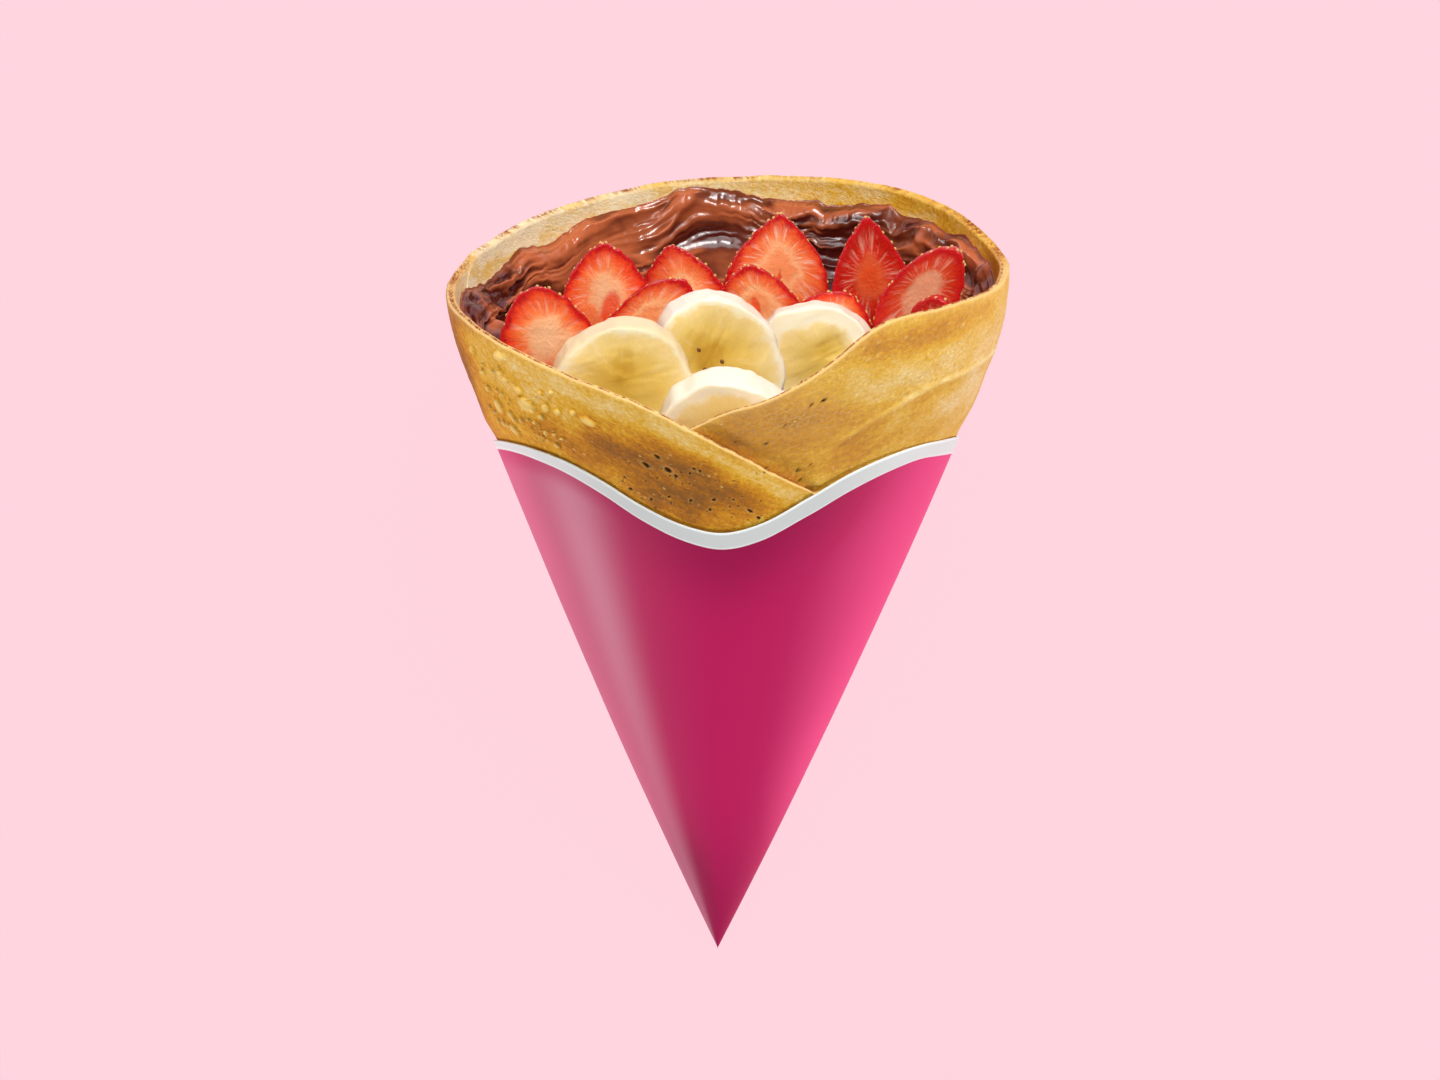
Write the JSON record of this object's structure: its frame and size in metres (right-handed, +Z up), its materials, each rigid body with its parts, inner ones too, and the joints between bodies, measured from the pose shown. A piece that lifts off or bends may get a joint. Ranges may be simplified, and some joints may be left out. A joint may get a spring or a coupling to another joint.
{
  "type": "crepe cone",
  "caption": "Folded crepe rolled into a cone in a wavy-edged paper sleeve, lined with chocolate spread and filled with sliced strawberry and banana, lying on its back.",
  "frame": {"origin": "middle of the bounding box on the table it lies on", "axes": "+Z up, -Y towards the closed tip, +Y towards the open mouth, the shown front faces up"},
  "size_m": [0.1385, 0.2007, 0.128],
  "materials": {
    "crepe": "matte baked batter with browned patches",
    "sleeve_paper": "satin coated paper, magenta with a white edge band",
    "chocolate": "glossy smeared hazelnut chocolate spread",
    "strawberry": "wet cut flesh with a red skin rim",
    "banana": "moist cut flesh"
  },
  "bodies": {
    "root": {"crepe": "crepe", "paper_sleeve": "sleeve_paper", "chocolate_spread": "chocolate", "strawberry_a": "strawberry", "strawberry_b": "strawberry", "strawberry_c": "strawberry", "strawberry_d": "strawberry", "strawberry_e": "strawberry", "strawberry_f": "strawberry", "strawberry_g": "strawberry", "strawberry_h": "strawberry", "strawberry_i": "strawberry", "strawberry_j": "strawberry", "banana_1": "banana", "banana_2": "banana", "banana_3": "banana", "banana_4": "banana"}
  },
  "joints": []
}
